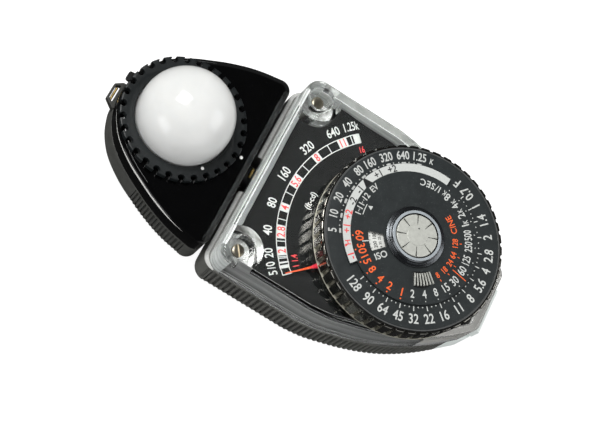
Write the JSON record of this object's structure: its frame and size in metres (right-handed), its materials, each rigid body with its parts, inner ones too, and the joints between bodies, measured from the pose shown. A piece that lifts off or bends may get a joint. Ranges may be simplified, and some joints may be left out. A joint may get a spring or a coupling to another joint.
{
  "type": "exposure meter",
  "caption": "Hand-held needle exposure meter with a swivelling head under a milk-white dome, a clear-covered scale and a round dial calculator with a ribbed grip ring.",
  "frame": {"origin": "centre of the bounding box at the flat back on which the meter lies", "axes": "+Z out of the dial face, +Y from the tail towards the swivelling head, +X to the right seen from the front with the head up"},
  "size_m": [0.058, 0.116, 0.0338],
  "materials": {
    "satin_black": "satin moulded plastic with fine ribs",
    "gloss_black": "gloss moulded plastic",
    "clear": "clear polished plastic",
    "scale_black": "matt black paint with printed scale",
    "dial_grey": "charcoal satin paint with printed numbers",
    "white_plate": "matt white paint",
    "chrome": "bright chrome",
    "aluminium": "satin",
    "steel": "plain",
    "brass": "plain",
    "copper": "varnished copper wire, weighed as brass",
    "orange": "fluorescent orange paint",
    "milk": "milk-white translucent plastic",
    "board": "circuit board",
    "cell": "dark light-sensitive cell under glass",
    "charcoal_ring": "satin"
  },
  "bodies": {
    "case": {"rear_case": "satin_black", "front_cover": "clear", "scale_plate": "scale_black", "movement_frame": "aluminium", "magnet_yoke": "steel", "magnet_core": "steel", "cover_screw_left": "brass", "cover_screw_right": "brass", "tail_screw": "steel", "back_plate": "aluminium", "terminal_board": "board", "dial_hub": "aluminium", "neck_collar": "satin_black", "button_spring": "steel", "hairspring": "brass"},
    "movement": {"moving_coil": "copper", "pivot_staff": "steel", "needle": "orange"},
    "zero_adjuster": {"zero_screw": "brass"},
    "dial_ring": {"knurled_ring": "gloss_black", "dial_face": "dial_grey"},
    "film_disc": {"film_disc": "white_plate"},
    "inner_dial": {"inner_dial": "dial_grey", "speed_tab": "satin_black", "bezel": "chrome"},
    "button": {"button": "aluminium"},
    "head": {"head_rear_shell": "satin_black", "head_front_shell": "gloss_black", "head_screw_left": "steel", "head_screw_right": "steel", "cell_base": "satin_black", "photocell": "cell", "receptor_seat": "satin_black", "swivel_tube": "brass", "neck_washer": "brass", "retaining_ring": "steel", "strap_lug": "satin_black", "strap_pin": "brass"},
    "diffuser": {"diffuser_dome": "milk", "bayonet_ring": "charcoal_ring"},
    "slide": {"high_slide": "steel"}
  },
  "joints": [
    {"name": "head_swivel", "type": "hinge", "parent": "case", "child": "head", "pos_m": [0, 0.0177, 0.0085], "axis": [0, 1, 0], "range_deg": [-90, 180]},
    {"name": "diffuser_turn", "type": "hinge", "parent": "head", "child": "diffuser", "pos_m": [0, 0.0381, 0], "axis": [0, 0, 1], "range_deg": [0, 45]},
    {"name": "high_slide_pull", "type": "slide", "parent": "head", "child": "slide", "axis": [0, 1, 0], "range_m": [0, 0.022]},
    {"name": "needle_swing", "type": "hinge", "parent": "case", "child": "movement", "pos_m": [0, -0.0259, 0], "axis": [0, 0, 1], "range_deg": [-92, 0], "deforming": ["hairspring"]},
    {"name": "zero_turn", "type": "hinge", "parent": "case", "child": "zero_adjuster", "pos_m": [0, -0.0259, 0], "axis": [0, 0, 1], "range_deg": [-45, 45]},
    {"name": "dial_ring_turn", "type": "hinge", "parent": "case", "child": "dial_ring", "pos_m": [0, -0.0272, 0], "axis": [0, 0, 1], "continuous": true},
    {"name": "film_disc_turn", "type": "hinge", "parent": "case", "child": "film_disc", "pos_m": [0, -0.0272, 0], "axis": [0, 0, 1], "continuous": true},
    {"name": "inner_dial_turn", "type": "hinge", "parent": "case", "child": "inner_dial", "pos_m": [0, -0.0272, 0], "axis": [0, 0, 1], "continuous": true},
    {"name": "button_press", "type": "slide", "parent": "case", "child": "button", "axis": [0, 0, -1], "range_m": [0, 0.0007], "stiffness_N_per_m": 300, "deforming": ["button_spring"]}
  ]
}
